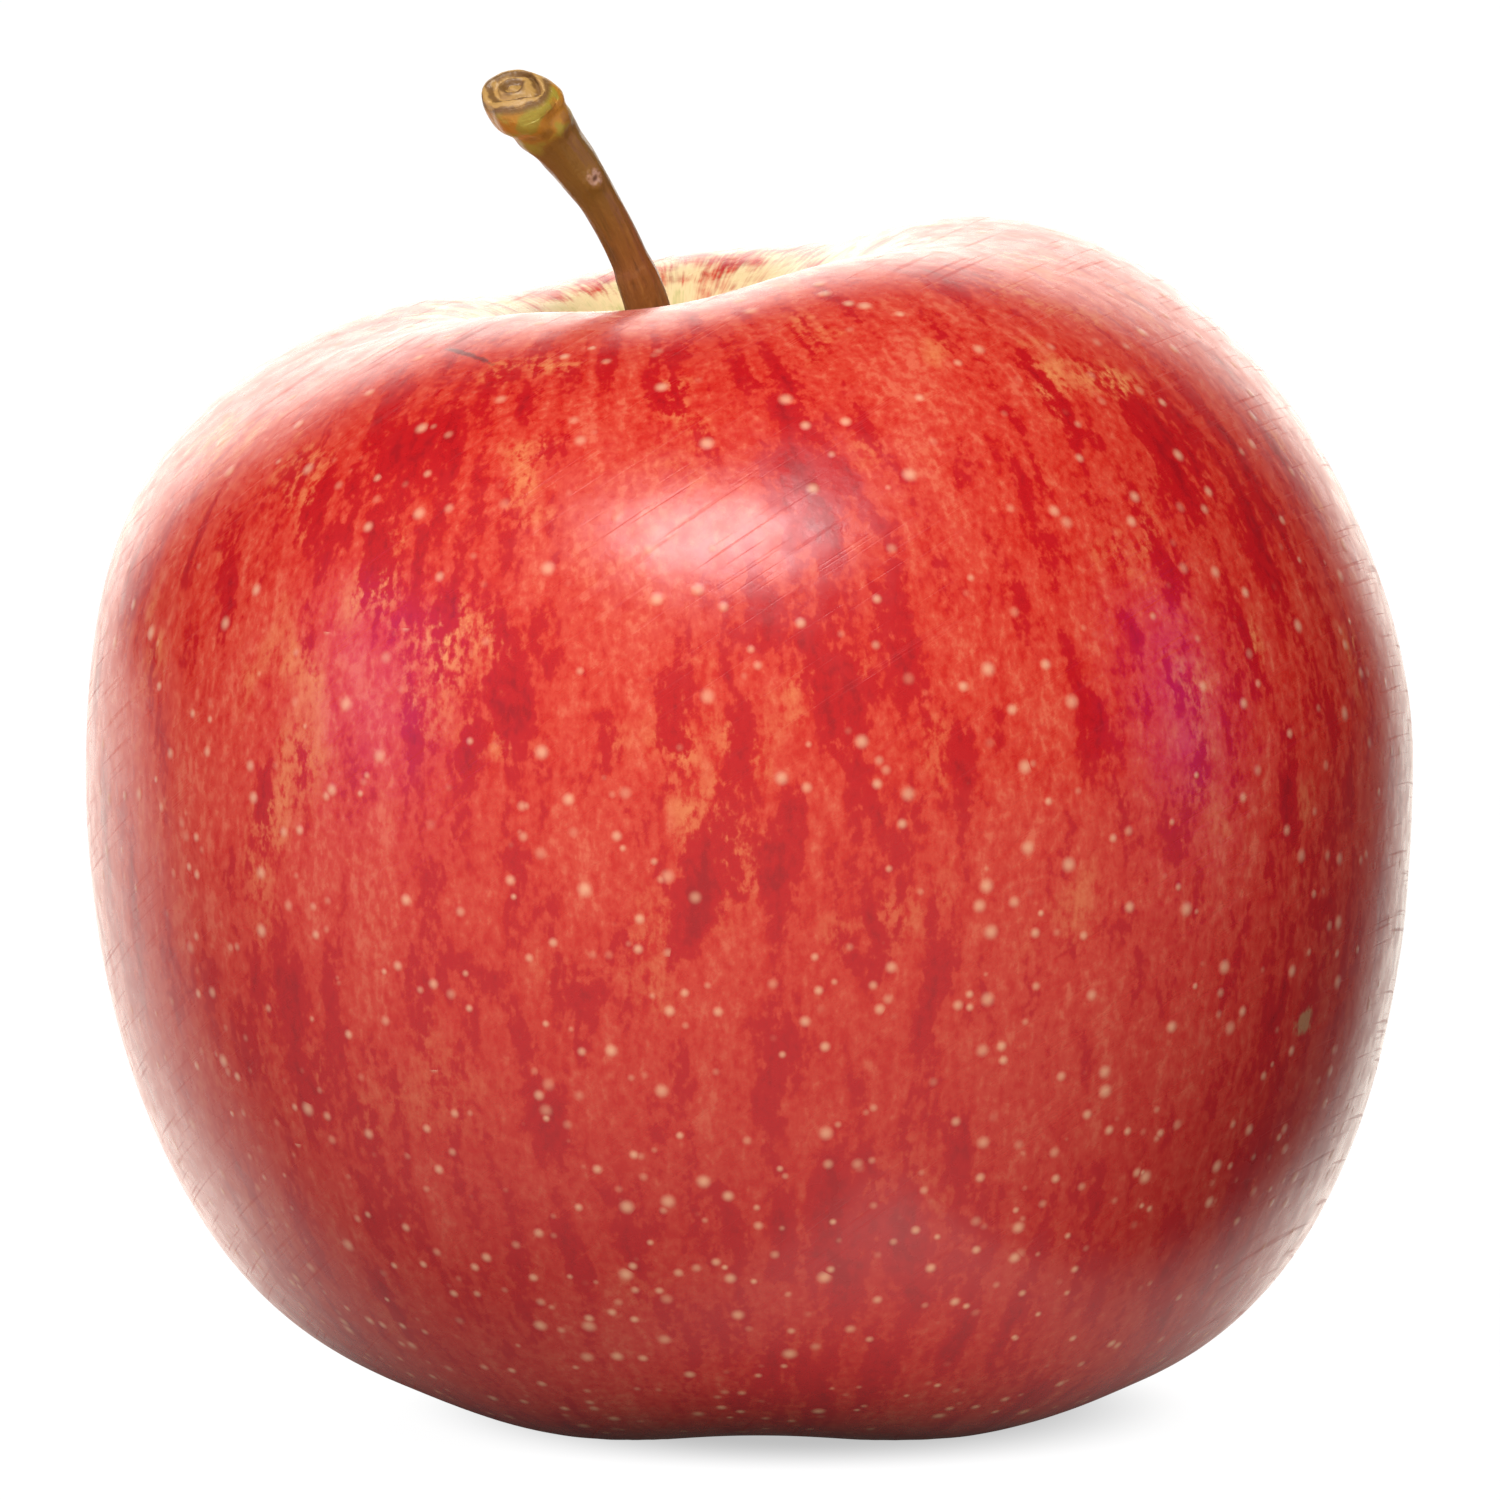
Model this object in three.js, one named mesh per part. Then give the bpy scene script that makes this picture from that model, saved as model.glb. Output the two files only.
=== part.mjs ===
// A ripe red apple standing on its five base lobes, with its stalk and the dried
// remains of the flower in the basin underneath.
// Millimetres, +Z up, the front faces -Y, and the floor is z = 0.

import * as THREE from 'three';

// ---------------------------------------------------------------- driving sizes

const GIRTH_RADIUS = 39.0;
const GIRTH_HEIGHT = 38.5;
const DEPTH_SHARE = 0.975; // front to back over side to side

const SHOULDER_RADIUS = 15.6; // crest of the rim round the stalk cavity
const SHOULDER_HEIGHT = 67.6;
const CAVITY_FLOOR = 54.5; // height of the pit that the stalk grows from
const CAVITY_NECK = { radius: 4.8, height: 60.0 }; // where the pit opens into the funnel

const FOOT_RADIUS = 13.8; // crest of the ring of five feet
const BASIN_DEPTH = 7.5;
const BASIN_FLOOR_RADIUS = 2.8;
const FOOT_FLATTENING = 0.35; // how far the feet are pressed flat by standing

const LOBES = 5;
const LOBE_DIRECTION = Math.PI / 2; // one lobe points straight back
const CALYX_LOBE = 0.014; // swelling of the lobes at the base, as a share of the radius
const STALK_LOBE = 0.008; // and at the shoulders
const FOOT_VALLEY = 1.0; // rise of the base between two feet
const SHOULDER_VALLEY = 0.6; // dip of the shoulders between two lobes
const RIM_SADDLE = 0.5; // dip of the rim at the front and the back

const SHOULDER_SLOPE = 0.165; // the right shoulder grew taller than the left
const STALK_OFFSET = -4.6; // the cavity's place along X
const CALYX_OFFSET = 1.0; // the basin's place along X

const AROUND = 60; // facets round the fruit, a multiple of twice the lobes
const RINGS = { cavity: 8, shoulder: 12, flank: 21, basin: 10 };

// Handle lengths of the section's two round stretches, as shares of their width and
// height. A quarter ellipse has 0.55 for both, and a longer handle keeps a side straighter.
const SHOULDER_ROUND = { width: 0.46, height: 0.65 };
const FLANK_ROUND = { width: 0.58, height: 0.64 };

const STALK_LENGTH = 26.2;
const STALK_GAP = 0.35; // clearance between the stalk's foot and the pit
const STALK_AROUND = 20;
const STALK_RINGS = 34;

const SEPAL = { length: 4.6, width: 2.6, thickness: 0.5, ringRadius: 3.0, lean: 0.25, gap: 0.45 };
const TUFT = { radius: 0.9, length: 3.2, tipRadius: 0.45, gap: 0.4 };

// ---------------------------------------------------------------- fruit

// One cubic stretch of the fruit's half section, as [radius, height] points.
function stretch(start, startHandle, endHandle, end) {
  const points = [start, startHandle, endHandle, end].map(([r, h]) => new THREE.Vector2(r, h));
  return new THREE.CubicBezierCurve(...points);
}

// The half section: down from the pit under the stalk, over the shoulder and the
// flank to a foot, and up into the basin. A lathe faces outwards when it runs upwards.
function fruitSection() {
  const shoulderWidth = GIRTH_RADIUS - SHOULDER_RADIUS;
  const shoulderRise = SHOULDER_HEIGHT - GIRTH_HEIGHT;
  const flankWidth = GIRTH_RADIUS - FOOT_RADIUS;
  const neck = [CAVITY_NECK.radius, CAVITY_NECK.height];
  const crest = [SHOULDER_RADIUS, SHOULDER_HEIGHT];
  const girth = [GIRTH_RADIUS, GIRTH_HEIGHT];
  const foot = [FOOT_RADIUS, 0];
  const pit = stretch([0, CAVITY_FLOOR], [1.9, CAVITY_FLOOR], [2.9, 57.0], neck);
  const funnel = stretch(neck, [6.6, 62.9], [9.8, SHOULDER_HEIGHT], crest);
  const shoulder = stretch(
    crest,
    [SHOULDER_RADIUS + SHOULDER_ROUND.width * shoulderWidth, SHOULDER_HEIGHT],
    [GIRTH_RADIUS, GIRTH_HEIGHT + SHOULDER_ROUND.height * shoulderRise],
    girth,
  );
  const flank = stretch(
    girth,
    [GIRTH_RADIUS, GIRTH_HEIGHT - FLANK_ROUND.height * GIRTH_HEIGHT],
    [FOOT_RADIUS + FLANK_ROUND.width * flankWidth, 0],
    foot,
  );
  const basin = stretch(foot, [9.0, 0], [8.0, BASIN_DEPTH], [BASIN_FLOOR_RADIUS, BASIN_DEPTH]);
  const downwards = [
    ...pit.getPoints(RINGS.cavity).slice(0, -1),
    ...funnel.getPoints(RINGS.cavity).slice(0, -1),
    ...shoulder.getPoints(RINGS.shoulder).slice(0, -1),
    ...flank.getPoints(RINGS.flank).slice(0, -1),
    ...basin.getPoints(RINGS.basin),
    new THREE.Vector2(0, BASIN_DEPTH),
  ];
  return downwards.reverse();
}

// Moves a point of the round fruit to its place on the grown one: five lobes that
// swell towards the base, a taller right shoulder, and feet pressed flat.
function grow(point) {
  const radius = Math.hypot(point.x, point.y);
  const lobe = Math.cos(LOBES * (Math.atan2(point.y, point.x) - LOBE_DIRECTION));
  const above = Math.max(0, point.z - GIRTH_HEIGHT) / (SHOULDER_HEIGHT - GIRTH_HEIGHT);
  const below = Math.max(0, GIRTH_HEIGHT - point.z) / GIRTH_HEIGHT;
  const stalkShare = above > 0 && radius < SHOULDER_RADIUS ? 1 : above ** 2;
  const calyxShare = below > 0 && radius < FOOT_RADIUS ? 1 : below ** 2;

  const swelling = 1 + lobe * (CALYX_LOBE * calyxShare + STALK_LOBE * stalkShare);
  const x = point.x * swelling;
  const y = point.y * swelling * DEPTH_SHARE;

  const footRise = FOOT_VALLEY * calyxShare * Math.min(1, radius / FOOT_RADIUS);
  const rimShare = stalkShare * Math.min(1, radius / SHOULDER_RADIUS);
  const saddle = radius > 0 ? (point.y / radius) ** 2 : 0;
  const valley = (1 - lobe) / 2;
  const height = point.z
    + footRise * valley
    - rimShare * (SHOULDER_VALLEY * valley + RIM_SADDLE * saddle)
    + SHOULDER_SLOPE * stalkShare * x
    - FOOT_FLATTENING;
  const lean = STALK_OFFSET * stalkShare + CALYX_OFFSET * calyxShare;
  return point.set(x + lean, y, Math.max(0, height));
}

// ---------------------------------------------------------------- stalk

// Centre line of the stalk: out of the pit, past the rim, and bending left and forward.
const STALK_LINE = new THREE.CubicBezierCurve3(
  new THREE.Vector3(STALK_OFFSET, 0, CAVITY_FLOOR - FOOT_FLATTENING + STALK_GAP),
  new THREE.Vector3(-4.3, 0.3, 65.2),
  new THREE.Vector3(-8.9, -0.4, 70.4),
  new THREE.Vector3(-13.9, -5.2, 78.1),
);

// Half section of the straightened stalk, [radius, distance from its foot]: a slim
// shank with a swollen collar, and the knob where it broke from the branch.
const STALK_SECTION = [
  [0, 0],
  [0.85, 0.1],
  [1.15, 0.7],
  [1.2, 4.0],
  [1.3, 10.5],
  [1.3, 12.4],
  [1.08, 13.4],
  [1.12, 17.0],
  [1.36, 19.6],
  [1.65, 21.6],
  [2.0, 23.1],
  [2.15, 24.4],
  [1.95, 25.6],
  [1.4, 26.1],
  [0, STALK_LENGTH],
];

function stalkGeometry() {
  const section = new THREE.SplineCurve(STALK_SECTION.map(([r, h]) => new THREE.Vector2(r, h)));
  const outline = section.getPoints(STALK_RINGS).map((p) => new THREE.Vector2(Math.max(0, p.x), p.y));
  const geometry = new THREE.LatheGeometry(outline, STALK_AROUND);
  geometry.rotateX(Math.PI / 2);
  return reshape(geometry, bendAlongStalk);
}

// Carries a point of the straight stalk onto the bent centre line.
function bendAlongStalk(point) {
  const along = THREE.MathUtils.clamp(point.z / STALK_LENGTH, 0, 1);
  const forward = STALK_LINE.getTangentAt(along);
  const side = new THREE.Vector3(0, 1, 0).cross(forward).normalize();
  const across = forward.clone().cross(side);
  const centre = STALK_LINE.getPointAt(along);
  return centre.addScaledVector(side, point.x).addScaledVector(across, point.y);
}

// ---------------------------------------------------------------- dried flower

const BASIN_FLOOR = BASIN_DEPTH - FOOT_FLATTENING;

// A pointed, dry sepal that hangs from the basin's floor and leans inwards.
function sepalGeometry() {
  const half = SEPAL.width / 2;
  const outline = new THREE.Shape();
  outline.moveTo(-half, 0);
  outline.lineTo(half, 0);
  outline.quadraticCurveTo(half * 0.9, SEPAL.length * 0.6, 0, SEPAL.length);
  outline.quadraticCurveTo(-half * 0.9, SEPAL.length * 0.6, -half, 0);
  const geometry = new THREE.ExtrudeGeometry(outline, {
    depth: SEPAL.thickness,
    bevelEnabled: false,
    curveSegments: 6,
  });
  geometry.translate(0, 0, -SEPAL.thickness / 2);
  geometry.rotateX(-Math.PI / 2 - SEPAL.lean);
  return geometry;
}

function tuftGeometry() {
  const top = BASIN_FLOOR - TUFT.gap;
  const bottom = top - TUFT.length;
  const outline = [
    new THREE.Vector2(0, bottom),
    new THREE.Vector2(TUFT.tipRadius, bottom + TUFT.tipRadius / 2),
    new THREE.Vector2(TUFT.radius, top - TUFT.length / 3),
    new THREE.Vector2(TUFT.radius, top),
    new THREE.Vector2(0, top),
  ];
  const geometry = new THREE.LatheGeometry(outline, 12);
  geometry.rotateX(Math.PI / 2);
  return geometry;
}

// ---------------------------------------------------------------- assembly

// Applies a rule to every vertex of a geometry.
function reshape(geometry, rule) {
  const places = geometry.getAttribute('position');
  const point = new THREE.Vector3();
  for (let i = 0; i < places.count; i += 1) {
    const moved = rule(point.fromBufferAttribute(places, i));
    places.setXYZ(i, moved.x, moved.y, moved.z);
  }
  geometry.computeVertexNormals();
  return geometry;
}

function material(color, roughness) {
  return new THREE.MeshStandardMaterial({ color, roughness, metalness: 0 });
}

function piece(name, geometry, finish) {
  const mesh = new THREE.Mesh(geometry, finish);
  mesh.name = name;
  return mesh;
}

function makeFruit() {
  const geometry = new THREE.LatheGeometry(fruitSection(), AROUND);
  geometry.rotateX(Math.PI / 2);
  return piece('fruit', reshape(geometry, grow), material(0xc23029, 0.28));
}

function makeStalk() {
  return piece('stem', stalkGeometry(), material(0x7d4a22, 0.7));
}

function makeSepals() {
  const ring = new THREE.Group();
  ring.position.set(CALYX_OFFSET, 0, BASIN_FLOOR - SEPAL.gap);
  for (let i = 0; i < LOBES; i += 1) {
    const arm = new THREE.Group();
    arm.rotation.z = LOBE_DIRECTION + (i * 2 * Math.PI) / LOBES;
    const sepal = piece(`sepal_${i + 1}`, sepalGeometry(), material(0x5d4a33, 0.85));
    sepal.rotation.z = Math.PI / 2;
    sepal.position.x = SEPAL.ringRadius;
    arm.add(sepal);
    ring.add(arm);
  }
  return ring;
}

function makeTuft() {
  const tuft = piece('stamen_tuft', tuftGeometry(), material(0x3f2c1d, 0.9));
  tuft.position.x = CALYX_OFFSET;
  return tuft;
}

const apple = new THREE.Group();
apple.add(makeFruit(), makeStalk(), makeSepals(), makeTuft());

export default apple;
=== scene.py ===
"""A ripe red apple on its base lobes, with its stalk and its dried flower remains.

Lengths are in metres. The front faces -Y, and the floor is z = 0.
"""

import math
import random

import bpy
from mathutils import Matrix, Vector, noise


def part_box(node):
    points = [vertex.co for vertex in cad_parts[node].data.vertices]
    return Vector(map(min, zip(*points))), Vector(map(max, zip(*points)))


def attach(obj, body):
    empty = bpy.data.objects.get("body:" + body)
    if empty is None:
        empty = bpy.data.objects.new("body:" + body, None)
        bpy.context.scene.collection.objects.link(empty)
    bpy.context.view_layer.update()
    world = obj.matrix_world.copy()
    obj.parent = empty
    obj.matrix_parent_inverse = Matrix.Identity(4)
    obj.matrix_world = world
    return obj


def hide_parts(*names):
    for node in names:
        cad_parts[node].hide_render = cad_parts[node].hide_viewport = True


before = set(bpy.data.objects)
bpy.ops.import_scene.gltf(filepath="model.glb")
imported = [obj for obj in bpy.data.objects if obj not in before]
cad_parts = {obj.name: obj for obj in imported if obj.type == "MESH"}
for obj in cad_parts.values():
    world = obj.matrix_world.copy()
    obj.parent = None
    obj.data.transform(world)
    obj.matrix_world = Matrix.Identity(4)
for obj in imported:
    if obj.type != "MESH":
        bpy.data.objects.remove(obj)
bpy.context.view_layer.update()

bl_info = {
    "name": "Red Apple",
    "version": (1, 0, 0),
    "blender": (4, 5, 0),
    "location": "View3D > Sidebar > Apple",
    "description": "Builds a ripe red apple with its stalk and dried calyx around its packed frame",
    "category": "Add Mesh",
}

MM = 0.001
TAU = math.tau
BODY = "root"

FRUIT_LOW, FRUIT_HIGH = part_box("fruit")
TUFT_LOW, TUFT_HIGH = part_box("stamen_tuft")
# The basin's core line, as a point on the floor, and how deep the tuft's roots sit in it.
CORE = Vector(((TUFT_LOW[0] + TUFT_HIGH[0]) / 2, (TUFT_LOW[1] + TUFT_HIGH[1]) / 2, 0))
TUFT_SUNK = 0.3 * MM

LOBES = 5
LOBE_DIRECTION = math.radians(90)

# Settings that many nodes share, and the families that a node type's full name starts with.
SOFT = {"interpolation_type": "SMOOTHSTEP"}
COLOUR_MIX = {"data_type": "RGBA", "clamp_factor": True}
NODE_FAMILIES = ("ShaderNode", "GeometryNode", "FunctionNode", "Node")


# ---------------------------------------------------------------- small helpers


def linear(hex_colour):
    """An sRGB hex colour as linear RGBA."""
    parts = [int(hex_colour[i : i + 2], 16) / 255 for i in (1, 3, 5)]
    return [c / 12.92 if c <= 0.04045 else ((c + 0.055) / 1.055) ** 2.4 for c in parts] + [1.0]


def add(tree, kind, *inputs, **settings):
    """Adds a node with its settings, and fills its open inputs: in order, or by name from a
    dictionary. The kind leaves out the family, and may end in an operation, as in Math.ADD."""
    kind, _, operation = kind.partition(".")
    family = next(f for f in NODE_FAMILIES if hasattr(bpy.types, f + kind))
    node = tree.nodes.new(family + kind)
    if operation:
        node.operation = operation
    for name, value in settings.items():
        setattr(node, name, value)
    sockets = [s for s in node.inputs if s.enabled]
    pairs = zip(sockets, inputs)
    if inputs and isinstance(inputs[0], dict):
        pairs = [(next(s for s in sockets if s.name == name), v) for name, v in inputs[0].items()]
    for socket, value in pairs:
        if isinstance(value, bpy.types.Node):
            value = next(s for s in value.outputs if s.enabled)
        if isinstance(value, bpy.types.NodeSocket):
            tree.links.new(value, socket)
        else:
            socket.default_value = value
    return node


def colour_property(name, description, hex_colour):
    return bpy.props.FloatVectorProperty(
        name=name,
        description=description,
        default=linear(hex_colour)[:3],
        size=3,
        min=0,
        max=1,
        subtype="COLOR",
    )


def length_property(name, description, metres):
    return bpy.props.FloatProperty(
        name=name, description=description, default=metres, precision=5, unit="LENGTH"
    )


def share_property(name, description, share):
    return bpy.props.FloatProperty(
        name=name, description=description, default=share, subtype="FACTOR"
    )


# ---------------------------------------------------------------- settings


class AppleFruitSettings(bpy.types.PropertyGroup):
    girth_radius: length_property(
        "Girth Radius", "Half of the fruit's width", (FRUIT_HIGH[0] - FRUIT_LOW[0]) / 2
    )
    girth_height: length_property("Girth Height", "Height of the widest ring", 38.5 * MM)
    depth_share: share_property(
        "Depth Share",
        "Front to back over side to side",
        (FRUIT_HIGH[1] - FRUIT_LOW[1]) / (FRUIT_HIGH[0] - FRUIT_LOW[0]),
    )
    shoulder_radius: length_property("Shoulder Radius", "Crest of the cavity's rim", 15.6 * MM)
    shoulder_height: length_property("Shoulder Height", "Height of that crest", 67.6 * MM)
    cavity_floor: length_property("Cavity Floor", "Height of the stalk's pit", 54.5 * MM)
    foot_radius: length_property("Foot Radius", "Crest of the ring of feet", 13.8 * MM)
    basin_depth: length_property("Basin Depth", "Height of the basin's floor", 7.5 * MM)
    foot_flattening: length_property("Foot Flattening", "How far the feet press in", 0.35 * MM)
    calyx_lobe: share_property("Base Lobes", "Swelling of the lobes at the base", 0.014)
    stalk_lobe: share_property("Shoulder Lobes", "Swelling of the lobes at the shoulders", 0.008)
    foot_valley: length_property("Foot Valley", "Rise of the base between two feet", 0.6 * MM)
    shoulder_valley: length_property("Shoulder Valley", "Dip between two shoulder lobes", 0.6 * MM)
    rim_saddle: length_property("Rim Saddle", "Dip of the rim at the front and back", 0.5 * MM)
    shoulder_slope: share_property("Shoulder Slope", "How much taller the right shoulder is", 0.165)
    stalk_offset: length_property("Stalk Offset", "The cavity's place along X", -4.6 * MM)
    calyx_offset: length_property("Calyx Offset", "The basin's place along X", 1.0 * MM)
    unevenness: length_property("Unevenness", "Height of the soft, uneven growth", 0.45 * MM)
    pleat: length_property("Basin Pleats", "Height of the folds round the basin", 0.35 * MM)
    around: bpy.props.IntProperty(name="Around", description="Facets round the fruit", default=300)
    rings: bpy.props.IntProperty(name="Rings", description="Rings from pole to pole", default=290)


class AppleSkinSettings(bpy.types.PropertyGroup):
    blush: colour_property("Blush", "The bright red ground", "#BD2419")
    salmon: colour_property("Salmon", "The lighter side of the fine mottle", "#C63D2B")
    fleck: colour_property("Fleck", "The pale strokes between the flames", "#D46C4E")
    gold: colour_property("Gold", "The yellow ground that shows through in patches", "#DA9558")
    stripe: colour_property("Stripe", "The red of the flames", "#B01117")
    # Shade is the real deep red of the flames' cores, and also painted shade towards the base.
    shade: colour_property("Shade", "The deep red of the flames' cores and the base", "#8E0D16")
    cream: colour_property("Cream", "The unblushed skin of the stalk cavity", "#E8D29C")
    moss: colour_property("Moss", "The green deep in the cavity and the basin", "#A3A45A")
    russet: colour_property("Russet", "The corky skin round the stalk", "#8A6A3C")
    lenticel: colour_property("Lenticel", "The pale breathing pores", "#E3B68E")
    # The crease's dark line is partly painted shade of a fold that the shape leaves out.
    crease: colour_property("Crease", "The dark line of a healed crease", "#5E1420")
    scab: colour_property("Scab", "The dry skin of a healed rub", "#A08A5C")


class AppleStalkSettings(bpy.types.PropertyGroup):
    bark: colour_property("Bark", "The brown of the shank", "#84491A")
    bark_light: colour_property("Light Bark", "The shank's paler fibres", "#A56A2E")
    bark_dark: colour_property("Dark Bark", "The shank's dark creases", "#4A250C")
    olive: colour_property("Olive", "The shank near the knob", "#7D5A1E")
    bud: colour_property("Bud Scar", "The pale scar of a dried bud", "#BC9680")
    knob: colour_property("Knob", "The ochre skin of the knob", "#B07A24")
    knob_green: colour_property("Green Knob", "The knob's olive patches", "#938A2E")
    scar: colour_property("Scar", "The torn end where it left the branch", "#B0884A")


class AppleCalyxSettings(bpy.types.PropertyGroup):
    sepal: colour_property("Sepal", "The grey brown of a dried sepal", "#6B553B")
    sepal_tip: colour_property("Sepal Tip", "The dark, brittle tip", "#2E2117")
    stamen: colour_property("Stamen", "The dried filaments", "#4A3420")
    sepal_length: length_property("Sepal Length", "From the basin's floor to the tip", 4.8 * MM)
    sepal_width: length_property("Sepal Width", "Across the root", 2.9 * MM)
    stamens: bpy.props.IntProperty(name="Stamens", description="Number of filaments", default=19)


class AppleStageSettings(bpy.types.PropertyGroup):
    camera_distance: length_property("Camera Distance", "From the fruit's middle", 1.2)
    camera_height: bpy.props.FloatProperty(
        name="Camera Height",
        description="How far the camera looks down",
        default=math.radians(6),
        subtype="ANGLE",
    )
    view_width: length_property("View Width", "Width of the view at the fruit", 88.2 * MM)
    aim_height: length_property("Aim Height", "What the camera and the lamps aim at", 38.8 * MM)
    key_power: bpy.props.FloatProperty(
        name="Key Power", description="The key light", default=10.3, unit="POWER"
    )


# ---------------------------------------------------------------- making pieces


def as_mesh_object(name, vertices, faces):
    mesh = bpy.data.meshes.new(name)
    mesh.from_pydata(vertices, [], faces)
    mesh.validate()
    mesh.shade_smooth()
    piece = bpy.data.objects.new(name, mesh)
    bpy.context.collection.objects.link(piece)
    return piece


def settled(piece):
    """Turns a piece with live modifiers into a plain mesh object of the same name."""
    bpy.context.view_layer.update()
    depsgraph = bpy.context.evaluated_depsgraph_get()
    mesh = bpy.data.meshes.new_from_object(
        piece.evaluated_get(depsgraph), preserve_all_data_layers=True, depsgraph=depsgraph
    )
    name = piece.name
    bpy.data.objects.remove(piece)
    mesh.name = name
    plain = bpy.data.objects.new(name, mesh)
    bpy.context.collection.objects.link(plain)
    if not mesh.polygons:
        raise RuntimeError(f"{name} came out empty")
    return plain


def set_inputs(modifier, values):
    """Sets a Geometry Nodes modifier's inputs through the identifiers behind their names."""
    identifiers = {
        item.name: item.identifier
        for item in modifier.node_group.interface.items_tree
        if item.item_type == "SOCKET" and item.in_out == "INPUT"
    }
    for name, value in values.items():
        modifier[identifiers[name]] = value


def group_input(tree, sockets):
    """Declares a tree's inputs and its one output, and returns the input node's sockets by name."""
    for name, kind, default in sockets:
        socket = tree.interface.new_socket(name, in_out="INPUT", socket_type=kind)
        if default is not None:
            socket.default_value = default
    tree.interface.new_socket("Geometry", in_out="OUTPUT", socket_type="NodeSocketGeometry")
    return tree.nodes.new("NodeGroupInput").outputs


# ---------------------------------------------------------------- fruit


# Steps between two knots of the half section, and the folds round the basin.
SECTION_STEPS = 64
PLEATS = 3 * LOBES


def section_knots(s):
    """The fruit's half section as Bezier knots of (handle in, point, handle out). It runs from
    the basin's floor and wall, round the feet, the girth and the shoulder's crest, and down
    the cavity's wall to the pit. A point is its radius and its height. The handle shares keep
    the flank a little straighter than a quarter ellipse."""
    girth = s.girth_radius
    shoulder_width = girth - s.shoulder_radius
    shoulder_rise = s.shoulder_height - s.girth_height
    flank_width = girth - s.foot_radius
    foot_side = s.foot_radius + 0.6 * flank_width
    girth_low = s.girth_height * (1 - 0.64)
    girth_high = s.girth_height + 0.65 * shoulder_rise
    crest_side = s.shoulder_radius + 0.46 * shoulder_width
    floor, top, pit = s.basin_depth, s.shoulder_height, s.cavity_floor
    return [
        [(0, floor), (0, floor), (0.9 * MM, floor)],
        [(1.9 * MM, floor), (2.8 * MM, floor), (8.0 * MM, floor)],
        [(9.0 * MM, 0), (s.foot_radius, 0), (foot_side, 0)],
        [(girth, girth_low), (girth, s.girth_height), (girth, girth_high)],
        [(crest_side, top), (s.shoulder_radius, top), (9.8 * MM, top)],
        [(6.6 * MM, 62.9 * MM), (4.8 * MM, 60.0 * MM), (2.9 * MM, 57.0 * MM)],
        [(1.9 * MM, pit), (0, pit), (0, pit)],
    ]


def section_curve(settings):
    curve = bpy.data.curves.new("fruit_section", "CURVE")
    curve.dimensions = "3D"
    curve.resolution_u = SECTION_STEPS
    knots = section_knots(settings)
    spline = curve.splines.new("BEZIER")
    spline.bezier_points.add(len(knots) - 1)
    for point, knot in zip(spline.bezier_points, knots):
        point.handle_left_type = point.handle_right_type = "FREE"
        places = [(r, 0, h) for r, h in knot]
        point.handle_left, point.co, point.handle_right = places
    return curve


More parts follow.
